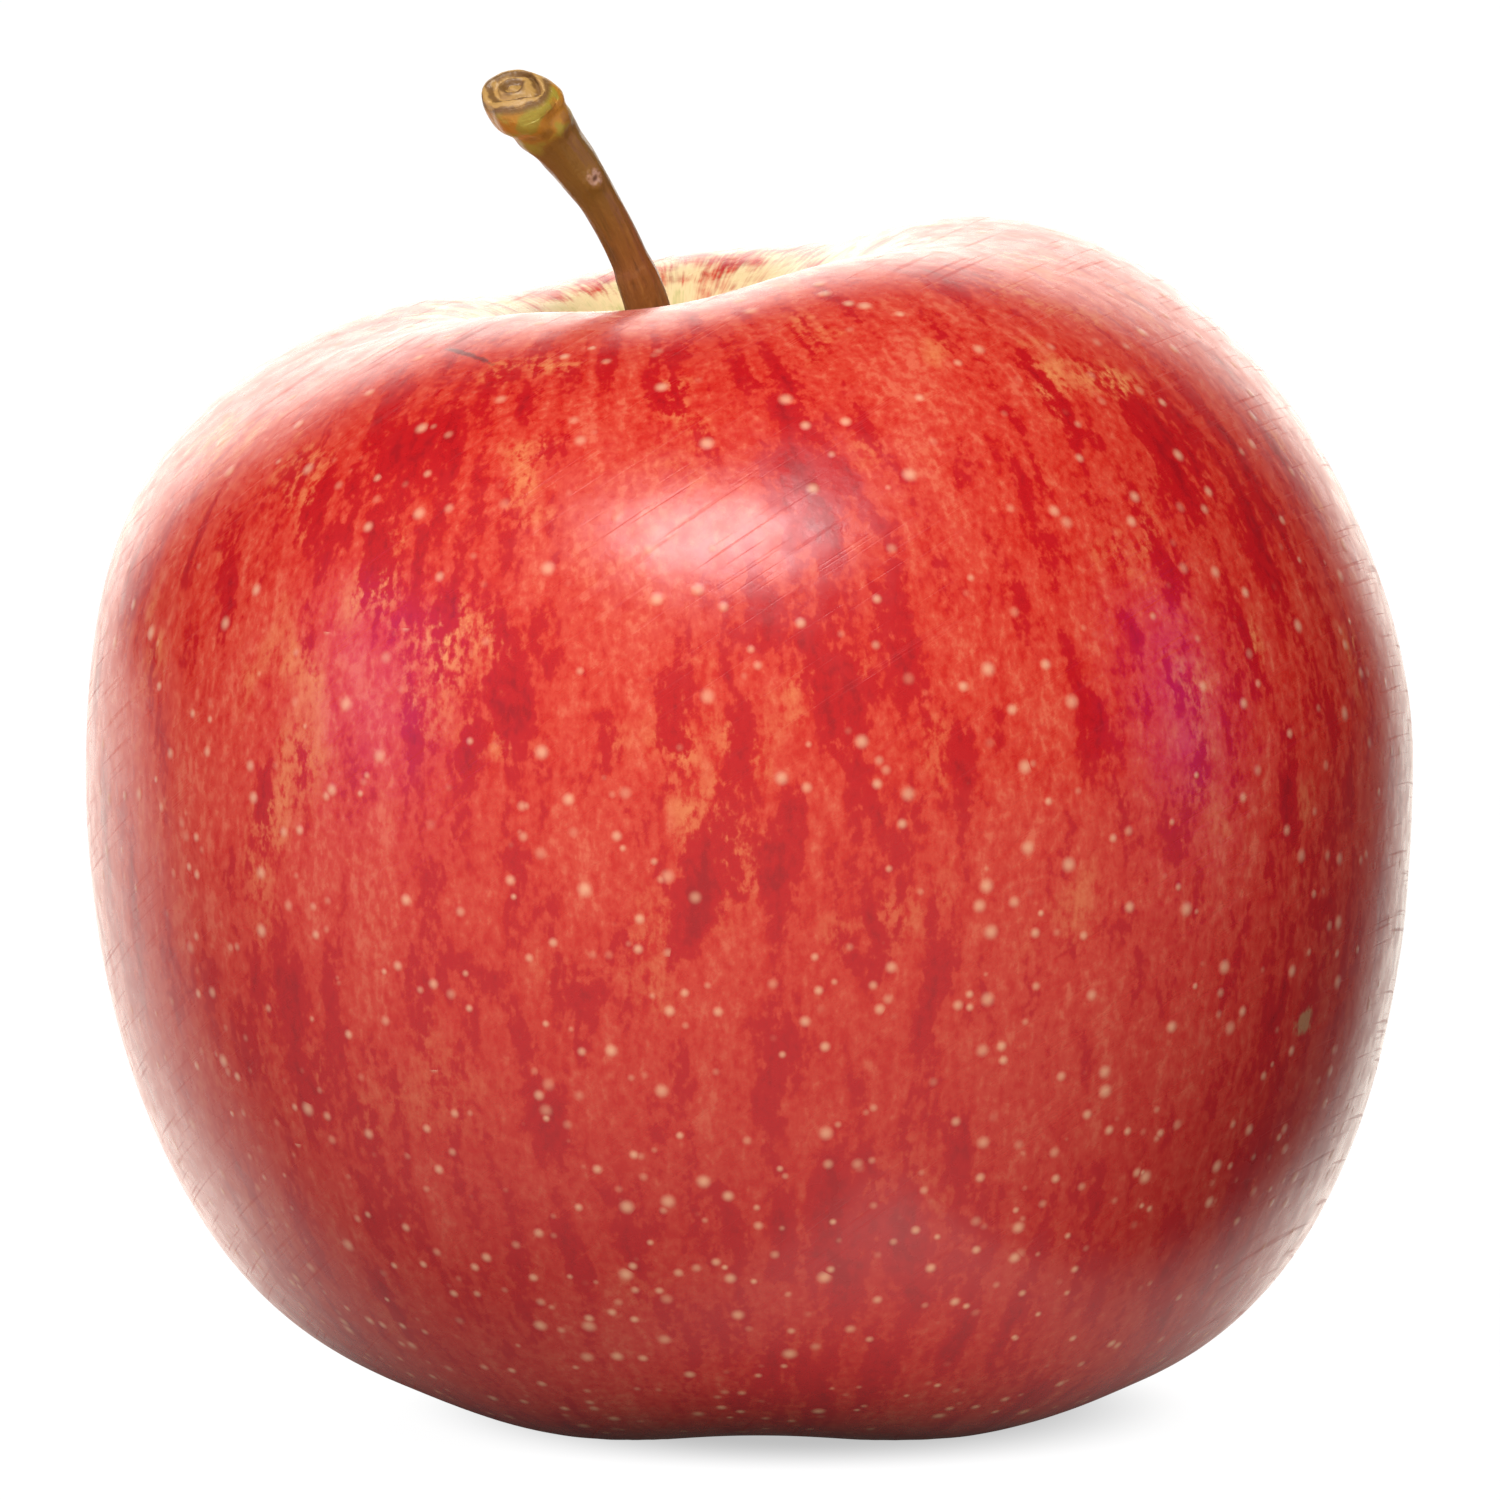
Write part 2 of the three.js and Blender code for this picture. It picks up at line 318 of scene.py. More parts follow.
def fruit_tree():
    """The tree that turns the half section about the core and lets it grow unevenly."""
    tree = bpy.data.node_groups.new("Grown Fruit", "GeometryNodeTree")
    sizes = (
        "Girth Radius,Girth Height,Depth Share,Shoulder Radius,Shoulder Height,Foot Radius,"
        "Foot Flattening,Base Lobes,Shoulder Lobes,Foot Valley,Shoulder Valley,Rim Saddle,"
        "Shoulder Slope,Stalk Offset,Calyx Offset,Unevenness,Basin Pleats,Lobe Direction"
    ).split(",")
    sockets = [("Section", "NodeSocketGeometry", None)]
    sockets += [(name, "NodeSocketFloat", 0.0) for name in sizes]
    sockets += [("Lobes", "NodeSocketInt", LOBES), ("Around", "NodeSocketInt", 60)]
    sockets += [("Rings", "NodeSocketInt", 60), ("Skin", "NodeSocketMaterial", None)]
    given = group_input(tree, sockets)

    # a flat grid, whose X is the way round and whose Y is the way up the section
    columns = add(tree, "Math.ADD", given["Around"], 1)
    rows = add(tree, "Math.ADD", given["Rings"], 1)
    grid = add(tree, "MeshGrid", 1, 1, columns, rows)
    position = add(tree, "InputPosition")
    flat = add(tree, "SeparateXYZ", position).outputs
    angle = add(tree, "Math.ADD", flat["X"], 0.5)
    angle = add(tree, "Math.MULTIPLY", angle, TAU)
    factor = add(tree, "Math.ADD", flat["Y"], 0.5)
    sample = add(tree, "SampleCurve", {"Curves": given["Section"], "Factor": factor})
    section = add(tree, "SeparateXYZ", sample.outputs["Position"]).outputs
    radius, height = section["X"], section["Z"]
    length = add(tree, "CurveLength", given["Section"])
    upward = add(tree, "Math.MULTIPLY", factor, length)
    cosine = add(tree, "Math.COSINE", angle)
    sine = add(tree, "Math.SINE", angle)

    # five lobes, and how much of the stalk's and of the calyx's growth a point takes
    turned = add(tree, "Math.SUBTRACT", angle, given["Lobe Direction"])
    lobe = add(tree, "Math.MULTIPLY", turned, given["Lobes"])
    lobe = add(tree, "Math.COSINE", lobe)
    valley = add(tree, "Math.MULTIPLY_ADD", lobe, -0.5, 0.5)
    rise = add(tree, "Math.SUBTRACT", height, given["Girth Height"])
    full_rise = add(tree, "Math.SUBTRACT", given["Shoulder Height"], given["Girth Height"])
    above = add(tree, "Math.DIVIDE", rise, full_rise)
    above = add(tree, "Math.MAXIMUM", above, 0)
    full_fall = add(tree, "Math.MULTIPLY", given["Girth Height"], -1)
    below = add(tree, "Math.DIVIDE", rise, full_fall)
    below = add(tree, "Math.MAXIMUM", below, 0)
    upper = add(tree, "Math.GREATER_THAN", above, 0)
    lower = add(tree, "Math.GREATER_THAN", below, 0)
    within_rim = add(tree, "Math.LESS_THAN", radius, given["Shoulder Radius"])
    within_feet = add(tree, "Math.LESS_THAN", radius, given["Foot Radius"])
    in_cavity = add(tree, "Math.MULTIPLY", upper, within_rim)
    in_basin = add(tree, "Math.MULTIPLY", lower, within_feet)
    stalk_share = add(tree, "Math.POWER", above, 2)
    stalk_share = add(tree, "Math.MAXIMUM", stalk_share, in_cavity)
    calyx_share = add(tree, "Math.POWER", below, 2)
    calyx_share = add(tree, "Math.MAXIMUM", calyx_share, in_basin)

    base_swell = add(tree, "Math.MULTIPLY", given["Base Lobes"], calyx_share)
    swell = add(tree, "Math.MULTIPLY_ADD", given["Shoulder Lobes"], stalk_share, base_swell)
    grown = add(tree, "Math.MULTIPLY_ADD", lobe, swell, 1)
    reach = add(tree, "Math.MULTIPLY", radius, grown)
    across = add(tree, "Math.MULTIPLY", reach, cosine)
    deep = add(tree, "Math.MULTIPLY", reach, sine)
    deep = add(tree, "Math.MULTIPLY", deep, given["Depth Share"])

    # feet, saddle and the taller shoulder
    to_foot = add(tree, "Math.DIVIDE", radius, given["Foot Radius"])
    to_foot = add(tree, "Math.MINIMUM", to_foot, 1)
    to_rim = add(tree, "Math.DIVIDE", radius, given["Shoulder Radius"])
    to_rim = add(tree, "Math.MINIMUM", to_rim, 1)
    foot_share = add(tree, "Math.MULTIPLY", calyx_share, to_foot)
    rim_share = add(tree, "Math.MULTIPLY", stalk_share, to_rim)
    foot_rise = add(tree, "Math.MULTIPLY", given["Foot Valley"], foot_share)
    foot_rise = add(tree, "Math.MULTIPLY", foot_rise, valley)
    facing = add(tree, "Math.POWER", sine, 2)
    saddle = add(tree, "Math.MULTIPLY", given["Rim Saddle"], facing)
    dip = add(tree, "Math.MULTIPLY_ADD", given["Shoulder Valley"], valley, saddle)
    rim_dip = add(tree, "Math.MULTIPLY", dip, rim_share)
    tilt = add(tree, "Math.MULTIPLY", given["Shoulder Slope"], stalk_share)
    tilt = add(tree, "Math.MULTIPLY", tilt, across)
    tall = add(tree, "Math.ADD", height, foot_rise)
    tall = add(tree, "Math.SUBTRACT", tall, rim_dip)
    tall = add(tree, "Math.ADD", tall, tilt)
    tall = add(tree, "Math.SUBTRACT", tall, given["Foot Flattening"])
    lean = add(tree, "Math.MULTIPLY", given["Calyx Offset"], calyx_share)
    lean = add(tree, "Math.MULTIPLY_ADD", given["Stalk Offset"], stalk_share, lean)
    across = add(tree, "Math.ADD", across, lean)
    place = add(tree, "CombineXYZ", across, deep, tall)

    # what the skin's pattern follows: the way round in metres at the girth, and the way up;
    # and its zones: into the cavity, into the basin, and up
    wrap_x = add(tree, "Math.MULTIPLY", cosine, given["Girth Radius"])
    wrap_y = add(tree, "Math.MULTIPLY", sine, given["Girth Radius"])
    wrap = add(tree, "CombineXYZ", wrap_x, wrap_y, upward)
    inward = add(tree, "Math.DIVIDE", radius, given["Shoulder Radius"])
    inward = add(tree, "Math.SUBTRACT", 1, inward)
    inward = add(tree, "Switch", upper, -1.0, inward, input_type="FLOAT")
    basin_inward = add(tree, "Math.DIVIDE", radius, given["Foot Radius"])
    basin_inward = add(tree, "Math.SUBTRACT", 1, basin_inward)
    basin_inward = add(tree, "Switch", lower, -1.0, basin_inward, input_type="FLOAT")
    upward_share = add(tree, "Math.DIVIDE", height, given["Shoulder Height"])
    zones = add(tree, "CombineXYZ", inward, basin_inward, upward_share)
    marked = grid.outputs["Mesh"]
    for name, value in (("skin_place", wrap), ("skin_zone", zones)):
        marked = add(
            tree,
            "StoreNamedAttribute",
            {"Geometry": marked, "Name": name, "Value": value},
            data_type="FLOAT_VECTOR",
            domain="POINT",
        )
    grown = add(tree, "SetPosition", {"Geometry": marked, "Position": place})
    closed = add(tree, "MergeByDistance", {"Geometry": grown, "Distance": 1e-6})

    # soft uneven growth all over, and pleats that run out of the basin
    broad = add(tree, "TexNoise", {"Vector": position, "Scale": 1 / (30 * MM), "Detail": 1})
    fine = add(tree, "TexNoise", {"Vector": position, "Scale": 1 / (11 * MM), "Detail": 1})
    broad_lift = add(tree, "Math.SUBTRACT", broad, 0.5)
    fine_wave = add(tree, "Math.SUBTRACT", fine, 0.5)
    fine_lift = add(tree, "Math.MULTIPLY", fine_wave, 0.35)
    lift = add(tree, "Math.ADD", broad_lift, fine_lift)
    lift = add(tree, "Math.MULTIPLY", lift, given["Unevenness"])
    zone = add(tree, "InputNamedAttribute", "skin_zone", data_type="FLOAT_VECTOR")
    basin = add(tree, "SeparateXYZ", zone).outputs["Y"]
    wrapped = add(tree, "InputNamedAttribute", "skin_place", data_type="FLOAT_VECTOR")
    round_place = add(tree, "SeparateXYZ", wrapped).outputs
    heading = add(tree, "Math.ARCTAN2", round_place["Y"], round_place["X"])
    uneven_fold = add(tree, "Math.MULTIPLY", fine_wave, 5)
    fold = add(tree, "Math.MULTIPLY_ADD", heading, PLEATS, uneven_fold)
    fold = add(tree, "Math.COSINE", fold)
    pleat_in = add(tree, "MapRange", basin, 0.05, 0.35, 0, 1, **SOFT)
    pleat_out = add(tree, "MapRange", basin, 0.55, 0.85, 1, 0, **SOFT)
    pleats = add(tree, "Math.MULTIPLY", fold, pleat_in)
    pleats = add(tree, "Math.MULTIPLY", pleats, pleat_out)
    lift = add(tree, "Math.MULTIPLY_ADD", pleats, given["Basin Pleats"], lift)
    normal = add(tree, "InputNormal")
    offset = add(tree, "VectorMath.SCALE", {"Vector": normal, "Scale": lift})
    uneven = add(tree, "SetPosition", {"Geometry": closed, "Offset": offset})

    # nothing reaches under the floor
    floor = add(tree, "VectorMath.MAXIMUM", position, (-1, -1, 0))
    pressed = add(tree, "SetPosition", {"Geometry": uneven, "Position": floor})
    smooth = add(tree, "SetShadeSmooth", {"Geometry": pressed})
    real = add(tree, "RealizeInstances", smooth)
    skinned = add(tree, "SetMaterial", {"Geometry": real, "Material": given["Skin"]})
    add(tree, "GroupOutput", skinned)
    return tree


def make_fruit(settings, skin):
    section = bpy.data.objects.new("fruit_skin", section_curve(settings))
    bpy.context.collection.objects.link(section)
    modifier = section.modifiers.new("Grown Fruit", "NODES")
    modifier.node_group = fruit_tree()
    values = {
        settings.bl_rna.properties[key].name: getattr(settings, key)
        for key in AppleFruitSettings.__annotations__
        if key not in ("cavity_floor", "basin_depth")
    }
    values.update({"Lobes": LOBES, "Lobe Direction": LOBE_DIRECTION, "Skin": skin})
    set_inputs(modifier, values)
    return settled(section)


# ---------------------------------------------------------------- stalk

# The bend's four control points, from the pit past the rim to the knob.
STALK_BEND = [
    Vector((-4.6, 0.0, 54.5)) * MM,
    Vector((-4.9, 0.3, 65.2)) * MM,
    Vector((-7.3, -0.4, 70.4)) * MM,
    Vector((-13.9, -5.2, 78.2)) * MM,
]
# Radius along the straightened stalk, in millimetres from its foot: a slim shank, a collar
# that ends in a step, and the knob where it broke from the branch.
STALK_RADII = [
    (0.0, 0.0),
    (0.1, 0.85),
    (0.7, 1.15),
    (4.0, 1.2),
    (10.5, 1.3),
    (12.2, 1.28),
    (13.6, 1.1),
    (17.0, 1.12),
    (19.6, 1.36),
    (21.6, 1.45),
    (23.1, 1.74),
    (24.4, 1.98),
    (25.4, 1.98),
    (25.95, 1.75),
    (26.2, 1.42),
    (26.2, 0.0),
]
# The way that the torn end faces.
STALK_END_FACES = Vector((-0.2, -0.58, 0.79)).normalized()
# Where the rings start to slant towards the torn end, over what run they do so, and where
# they turn rough, in millimetres from the foot.
STALK_SLANT_FROM = 21.0
STALK_SLANT_RUN = 5.0
STALK_TORN_FROM = 25.0
# The knob's middle, how far it spreads along the stalk, and how much it bulges underneath.
KNOB_ALONG = 24.0
KNOB_SPREAD = 2.4
KNOB_BULGE = 0.2
# The torn end from its edge inwards, as (height, radius, width) in millimetres: a lip, a
# groove, a ring, a second groove and a nub.
TORN_RINGS = (
    (0.08, 1.45, 0.18),
    (-0.3, 1.08, 0.16),
    (0.1, 0.72, 0.16),
    (-0.26, 0.38, 0.14),
    (0.08, 0.0, 0.16),
)
# Where a bud dried off the shank: millimetres from the foot, and the way it faces.
BUD_ALONG = 18.9
BUD_ANGLE = -1.15
# How finely the stalk is divided round and along, and its bend is measured.
STALK_AROUND = 96
STALK_RINGS = 260
BEND_STEPS = 400


def catmull(points, t):
    """A point of the smooth curve through the points, for t from 0 to 1."""
    reached = t * (len(points) - 1)
    i = min(int(reached), len(points) - 2)
    f = reached - i
    a, b, c, d = (points[min(max(k, 0), len(points) - 1)] for k in (i - 1, i, i + 1, i + 2))
    place = []
    for p, q, r, s in zip(a, b, c, d):
        squared = (2 * p - 5 * q + 4 * r - s) * f * f
        cubed = (3 * q - p - 3 * r + s) * f**3
        place.append(0.5 * ((2 * q) + (r - p) * f + squared + cubed))
    return place


def bezier_point(knots, t):
    u = 1 - t
    a, b, c, d = knots
    return a * u**3 + b * (3 * u * u * t) + c * (3 * u * t * t) + d * t**3


def bezier_tangent(knots, t):
    u = 1 - t
    a, b, c, d = knots
    return ((b - a) * (u * u) + (c - b) * (2 * u * t) + (d - c) * (t * t)).normalized()


def even_steps(knots, count):
    """Bezier parameters at equal distances along the bend."""
    fine = [bezier_point(knots, i / BEND_STEPS) for i in range(BEND_STEPS + 1)]
    run = [0.0]
    for a, b in zip(fine, fine[1:]):
        run.append(run[-1] + (b - a).length)
    steps, k = [], 0
    for i in range(count + 1):
        goal = run[-1] * i / count
        while k < BEND_STEPS - 1 and run[k + 1] < goal:
            k += 1
        steps.append((k + (goal - run[k]) / (run[k + 1] - run[k])) / BEND_STEPS)
    return steps


def bump(x, centre, width):
    return math.exp(-(((x - centre) / width) ** 2))


def stalk_relief(along, angle, radius):
    """The stalk's radius in millimetres with its ridges, its lopsided knob and its bud scar."""
    wave = Vector((math.cos(angle) * 1.6, math.sin(angle) * 1.6, along * 0.16))
    ridge = noise.noise(wave * 1.7) * 0.09 + noise.noise(wave * 4.1 + Vector((7, 3, 1))) * 0.03
    knobbed = bump(along, KNOB_ALONG, KNOB_SPREAD)
    under = max(0.0, -math.cos(angle - 0.35))
    lumps = noise.noise(Vector((math.cos(angle) * 1.2, math.sin(angle) * 1.2, along * 0.7))) * 0.28
    bud_place = math.cos(angle - BUD_ANGLE)
    bud = bump(along, BUD_ALONG, 0.65) * max(0.0, bud_place) ** 6
    bud_pit = bump(along, BUD_ALONG, 0.28) * max(0.0, bud_place) ** 30
    grown = ridge + knobbed * (KNOB_BULGE * under + lumps) + 0.24 * bud - 0.22 * bud_pit
    return radius + grown * min(1.0, radius)


def end_relief(along, radius):
    """How far the torn end stands out of its plane."""
    if along < STALK_TORN_FROM:
        return 0.0
    face = bump(along, STALK_RADII[-1][0], 0.5)
    heights = [height * bump(radius, middle, width) for height, middle, width in TORN_RINGS]
    return face * sum(heights)


def ring_start(ring):
    """The number of a ring's first vertex: the foot is a single vertex."""
    return 0 if ring == 0 else 1 + (ring - 1) * STALK_AROUND


def make_stalk(bark):
    vertices, faces, grain = [], [], []
    length = STALK_RADII[-1][0]
    steps = even_steps(STALK_BEND, STALK_RINGS * 4)
    for i in range(STALK_RINGS + 1):
        along, radius = catmull(STALK_RADII, i / STALK_RINGS)
        radius = max(radius, 0.0)
        share = min(max(along / length, 0.0), 1.0)
        t = steps[round(share * STALK_RINGS * 4)]
        centre, forward = bezier_point(STALK_BEND, t), bezier_tangent(STALK_BEND, t)
        side = Vector((0, 1, 0)).cross(forward).normalized()
        behind = forward.cross(side)
        slant = min(max((along - STALK_SLANT_FROM) / STALK_SLANT_RUN, 0.0), 1.0) ** 1.5
        across = -slant * STALK_END_FACES.dot(side) / STALK_END_FACES.dot(forward)
        back = -slant * STALK_END_FACES.dot(behind) / STALK_END_FACES.dot(forward)
        ring = 1 if i in (0, STALK_RINGS) else STALK_AROUND
        for j in range(ring):
            angle = TAU * j / STALK_AROUND
            r = stalk_relief(along, angle, radius) if ring > 1 else 0.0
            worn = noise.noise(Vector((math.cos(angle) * r, math.sin(angle) * r, 5)) * 1.1)
            tip = end_relief(along, r + worn * 0.45)
            if along > STALK_TORN_FROM:
                tip += worn * 0.25
            tip += (math.cos(angle) * across + math.sin(angle) * back) * r
            out = (side * math.cos(angle) + behind * math.sin(angle)) * r
            vertices.append(centre + (out + forward * tip) * MM)
            grain.append((math.cos(angle) * r, math.sin(angle) * r, along))
    for i in range(STALK_RINGS):
        low, high = ring_start(i), ring_start(i + 1)
        for j in range(STALK_AROUND):
            k = (j + 1) % STALK_AROUND
            if i == 0:
                faces.append((low, high + k, high + j))
            elif i == STALK_RINGS - 1:
                faces.append((low + j, low + k, high))
            else:
                faces.append((low + j, low + k, high + k, high + j))
    stalk = as_mesh_object("stalk", vertices, faces)
    store = stalk.data.attributes.new("grain_place", "FLOAT_VECTOR", "POINT")
    store.data.foreach_set("vector", [c * MM for place in grain for c in place])
    stalk.data.materials.append(bark)
    return stalk


# ---------------------------------------------------------------- dried flower


# The calyx: how far out the sepals root, how thick they are, and how finely they are divided.
SEPAL_ROOT_RADIUS = 3.3 * MM
SEPAL_WALL = 0.22 * MM
SEPAL_TIP_WIDTH = 0.12 * MM
SEPAL_ROWS = 26
SEPAL_COLUMNS = 14
FIRST_SEPAL_SEED = 40
# A filament as (depth, radius) in millimetres: a thin thread, and an anther at its end.
FILAMENT_SIDES = 6
FILAMENT = ((0, 0.16), (0.8, 0.12), (1.6, 0.1), (2.2, 0.1), (2.4, 0.26), (2.75, 0.3), (3.0, 0.1))
# The angle between two filaments that grew one after the other.
GROWTH_TURN = math.radians(137.5)


def make_sepal(index, settings, finish):
    """A dried sepal: cupped, creased along its middle, and curled outwards at the tip."""
    draw = random.Random(FIRST_SEPAL_SEED + index)
    low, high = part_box(f"sepal_{index}")
    middle = Vector(((low[0] + high[0]) / 2, (low[1] + high[1]) / 2, 0)) - CORE
    out = middle.normalized()
    side = Vector((-out.y, out.x, 0))
    curl = draw.uniform(1.5, 2.3)
    twist = draw.uniform(-0.5, 0.5)
    bend = draw.uniform(0.3, 0.5)
    vertices, faces = [], []
    for i in range(SEPAL_ROWS + 1):
        v = i / SEPAL_ROWS
        belly = 0.86 + 0.3 * math.sin(math.pi * min(1, v * 1.4))
        width = max(settings.sepal_width * (1 - v**1.8) * belly, SEPAL_TIP_WIDTH)
        drop = settings.sepal_length * math.sin(v * math.pi * 0.5) * 0.86
        radius = SEPAL_ROOT_RADIUS - bend * 3.4 * MM * math.sin(v * math.pi * 0.75)
        radius += curl * MM * max(0.0, v - 0.55) ** 1.5 * 3
        for j in range(SEPAL_COLUMNS + 1):
            u = 2 * j / SEPAL_COLUMNS - 1
            cup = (1 - u * u) * 0.35 * MM * (1 - v)
            crease = math.exp(-((u / 0.16) ** 2)) * 0.14 * MM
            crumple = noise.noise(Vector((u * 1.5, v * 4, index * 3.1))) * 0.3 * MM * (0.3 + v)
            turn = u * twist * v * 0.8 * MM
            reach = radius + cup - crease + crumple + turn
            place = CORE + out * reach + side * (u * width / 2)
            vertices.append((place.x, place.y, high[2] - drop + abs(u) ** 2 * 0.3 * MM))
    across = SEPAL_COLUMNS + 1
    for i in range(SEPAL_ROWS):
        for j in range(SEPAL_COLUMNS):
            a = i * across + j
            faces.append((a, a + 1, a + across + 1, a + across))
    sepal = as_mesh_object(f"dried_sepal_{index}", vertices, faces)
    sepal.data.materials.append(finish)
    wall = sepal.modifiers.new("Wall", "SOLIDIFY")
    wall.thickness = SEPAL_WALL
    wall.offset = 0
    round_off = sepal.modifiers.new("Round Off", "SUBSURF")
    round_off.levels = round_off.render_levels = 1
    return settled(sepal)


def make_filament(finish):
    """One dried stamen that hangs down from the origin: a bent thread with its anther."""
    vertices, faces = [], []
    sides = FILAMENT_SIDES
    for depth, radius in FILAMENT:
        sway = 0.35 * math.sin(depth * 1.1)
        for j in range(sides):
            angle = TAU * j / sides
            across = (math.cos(angle) * radius + sway) * MM
            vertices.append((across, math.sin(angle) * radius * MM, -depth * MM))
    for i in range(len(FILAMENT) - 1):
        for j in range(sides):
            a, b = i * sides + j, i * sides + (j + 1) % sides
            faces.append((a, a + sides, b + sides, b))
    faces.append(tuple(range(sides)))
    faces.append(tuple(reversed(range(len(vertices) - sides, len(vertices)))))
    filament = as_mesh_object("filament", vertices, faces)
    filament.data.materials.append(finish)
    return filament


def tuft_tree():
    """The tree that sets filaments in a spiral, each leaning and sized by chance."""
    tree = bpy.data.node_groups.new("Stamen Tuft", "GeometryNodeTree")
    sockets = [
        ("Geometry", "NodeSocketGeometry", None),
        ("Count", "NodeSocketInt", 19),
        ("Ring Radius", "NodeSocketFloat", 0.9 * MM),
        ("Lean", "NodeSocketFloat", 0.25),
        ("Seed", "NodeSocketInt", 5),
        ("Finish", "NodeSocketMaterial", None),
    ]
    given = group_input(tree, sockets)
    points = add(tree, "Points", {"Count": given["Count"]})
    index = add(tree, "InputIndex")
    step = add(tree, "Math.MULTIPLY", index, GROWTH_TURN)
    share = add(tree, "Math.DIVIDE", index, given["Count"])
    spread = add(tree, "Math.POWER", share, 0.5)
    reach = add(tree, "Math.MULTIPLY", spread, given["Ring Radius"])
    spot_x = add(tree, "Math.COSINE", step)
    spot_x = add(tree, "Math.MULTIPLY", spot_x, reach)
    spot_y = add(tree, "Math.SINE", step)
    spot_y = add(tree, "Math.MULTIPLY", spot_y, reach)
    spot = add(tree, "CombineXYZ", spot_x, spot_y, 0)
    placed = add(tree, "SetPosition", {"Geometry": points, "Position": spot})
    low = add(tree, "Math.MULTIPLY", given["Lean"], -1)
    first, leans = given["Seed"], {"Min": low, "Max": given["Lean"]}
    second = add(tree, "Math.ADD", first, 1)
    third = add(tree, "Math.ADD", first, 2)
    lean_x = add(tree, "RandomValue", {**leans, "Seed": first})
    lean_y = add(tree, "RandomValue", {**leans, "Seed": second})
    turn = add(tree, "CombineXYZ", lean_x, lean_y, step)
    size = add(tree, "RandomValue", {"Min": 0.75, "Max": 1.1, "Seed": third})
    copies = add(
        tree,
        "InstanceOnPoints",
        {"Points": placed, "Instance": given["Geometry"], "Rotation": turn, "Scale": size},
    )
    real = add(tree, "RealizeInstances", copies)
    finished = add(tree, "SetMaterial", {"Geometry": real, "Material": given["Finish"]})
    add(tree, "GroupOutput", finished)
    return tree


def make_tuft(settings, finish):
    tuft = make_filament(finish)
    tuft.name = "stamens"
    modifier = tuft.modifiers.new("Stamen Tuft", "NODES")
    modifier.node_group = tuft_tree()
    set_inputs(modifier, {"Count": settings.stamens, "Finish": finish})
    tuft = settled(tuft)
    root = Vector((CORE.x, CORE.y, TUFT_HIGH[2] + TUFT_SUNK))
    for vertex in tuft.data.vertices:
        vertex.co += root
    return tuft


# ---------------------------------------------------------------- materials


def new_material(name):
    material = bpy.data.materials.new(name)
    material.use_nodes = True
    tree = material.node_tree
    tree.nodes.clear()
    return material, tree


# The skin's patterns: what each follows, its grain's width and height in millimetres, its
# detail and its roughness. The grain of half a millimetre frays the flames' edges and speckles
# the ground between them. The strokes are short. A flame is 2 to 3 mm wide and about 10 mm long.
SKIN_PATTERNS = {
    "grain": ("body", 0.5, 0.75, 4, 0.6),
    "stroke": ("drift", 0.9, 4.5, 3, 0.6),
    "flame": ("drift", 2.2, 7.0, 3, 0.5),
    "region": ("body", 12, 18, 1, 0.5),
    "warmth": ("body", 6, 9, 3, 0.5),
    "cloud": ("body", 2.4, 3.0, 3, 0.5),
    "peel": ("body", 1.4, 1.4, 3, 0.5),
    "scratch": ("tilted", 9, 0.18, 2, 0.4),
}
# How much the grain, the stroke, the flame and the region count in the mottle of the ground,
# and in the flames themselves.
MOTTLE_SHARES = (0.85, 0.4, 0.6, 0.45)
FLAME_SHARES = (0.3, 0.15, 0.72, 0.4)
# Pores as (cell, width, share kept at the top, share kept at the base), in millimetres. A pore
# shows only where the middle of its cell lies near the surface, about 4 mm from the next.
PORE_LAYERS = ((2.3, 0.55, 1.0, 1.0), (1.5, 0.4, 0.02, 0.8))
PORE_STRENGTH = 0.56
# Healed marks, as frayed ellipsoids that the skin passes through: the middle and the radii in
# millimetres, and between them the turn. A crease on the left shoulder is a healed mark whose
# dark red line is also painted shade of its fold, which the shape leaves out; a dry scab lies
# low on the right.
HEALED_MARKS = (
    ((-16.4, -18.7, 63.7), (0, 0.15, -0.96), (2.6, 0.2, 1.0), "crease", 0.75),
    ((32.0, -19.8, 25.1), (0, 0, 0), (1.15, 1.0, 0.8), "scab", 0.6),
)
# How far the bud's scar lies from the stalk's middle, and the spacing of the torn end's rings,
# in millimetres.
BUD_OUT = 1.3
RING_SPACING = 0.72
WAX_IOR = 1.4
BARK_IOR = 1.45
PER_MM = 1 / MM


